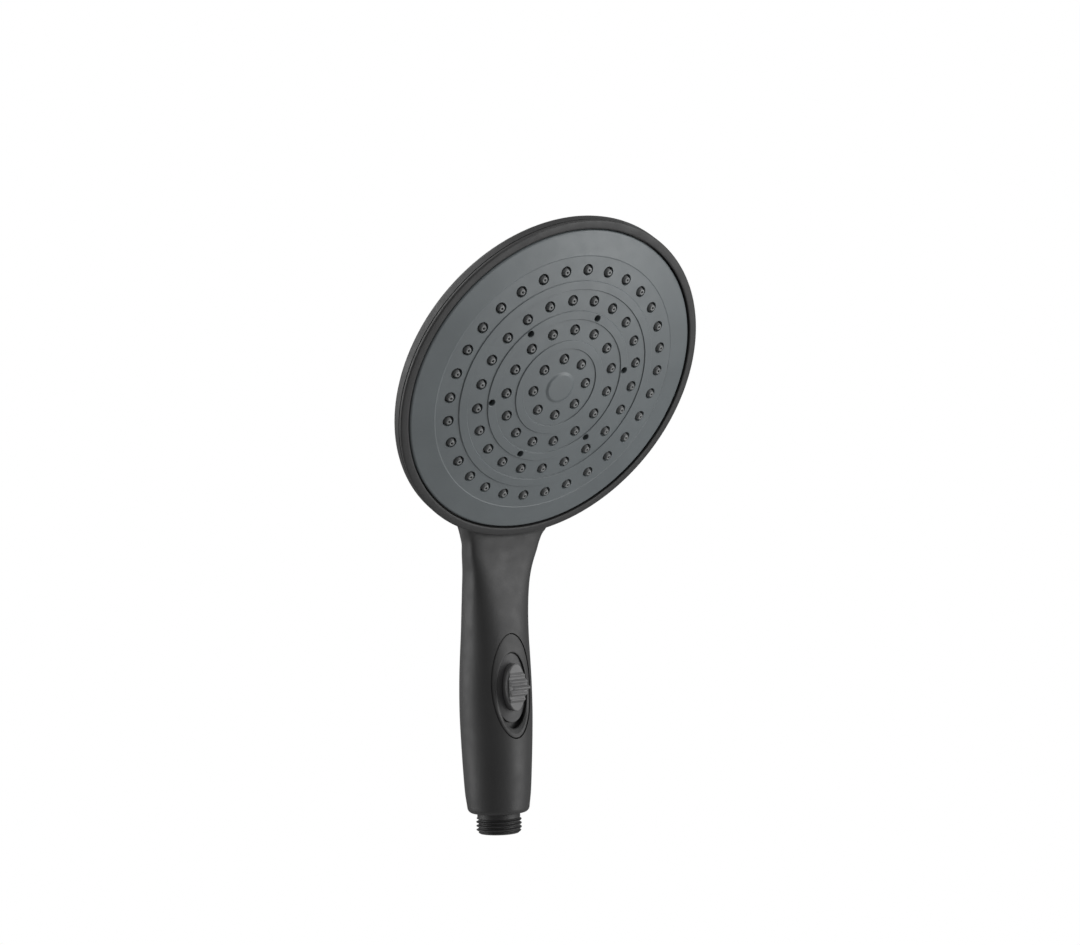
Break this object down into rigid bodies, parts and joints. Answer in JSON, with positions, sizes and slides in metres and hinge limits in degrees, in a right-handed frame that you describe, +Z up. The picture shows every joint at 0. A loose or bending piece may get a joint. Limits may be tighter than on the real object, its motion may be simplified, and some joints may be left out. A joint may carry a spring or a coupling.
{
  "type": "handheld shower head",
  "caption": "Handheld shower head with a round tilted spray face, a gently curved black handle, a thumb slide switch and a threaded hose inlet.",
  "frame": {"origin": "centre of the open end of the hose thread", "axes": "+Z up the handle's axis, -Y towards the spray face, +X to the right seen from the front"},
  "size_m": [0.1572, 0.1022, 0.2818],
  "materials": {
    "black_body": "satin black",
    "face_grey": "satin dark grey",
    "switch_grey": "satin dark grey",
    "nozzle_silicone": "matt",
    "inner_plastic": "moulded",
    "seal_rubber": "matt",
    "steel": "plain"
  },
  "bodies": {
    "handle": {"handle_body": "black_body", "rim_ring": "black_body", "switch_bezel": "black_body", "inlet_fitting": "black_body", "faceplate": "face_grey", "nozzle_mat": "nozzle_silicone", "manifold_front": "inner_plastic", "manifold_back": "inner_plastic", "water_tube": "inner_plastic", "valve_housing": "inner_plastic", "inlet_filter": "inner_plastic", "flow_regulator": "inner_plastic", "head_seal": "seal_rubber", "tube_oring_lower": "seal_rubber", "tube_oring_upper": "seal_rubber", "inlet_oring": "seal_rubber", "regulator_oring": "seal_rubber", "housing_oring": "seal_rubber", "centre_screw": "steel", "detent_ball": "steel", "detent_spring": "steel"},
    "slider": {"valve_spool": "switch_grey", "spool_oring_lower": "seal_rubber", "spool_oring_upper": "seal_rubber", "slider_carrier": "switch_grey", "thumb_knob": "switch_grey"}
  },
  "joints": [
    {"name": "spray_slider", "type": "slide", "parent": "handle", "child": "slider", "axis": [0, 0, 1], "range_m": [-0.004, 0.004]}
  ]
}
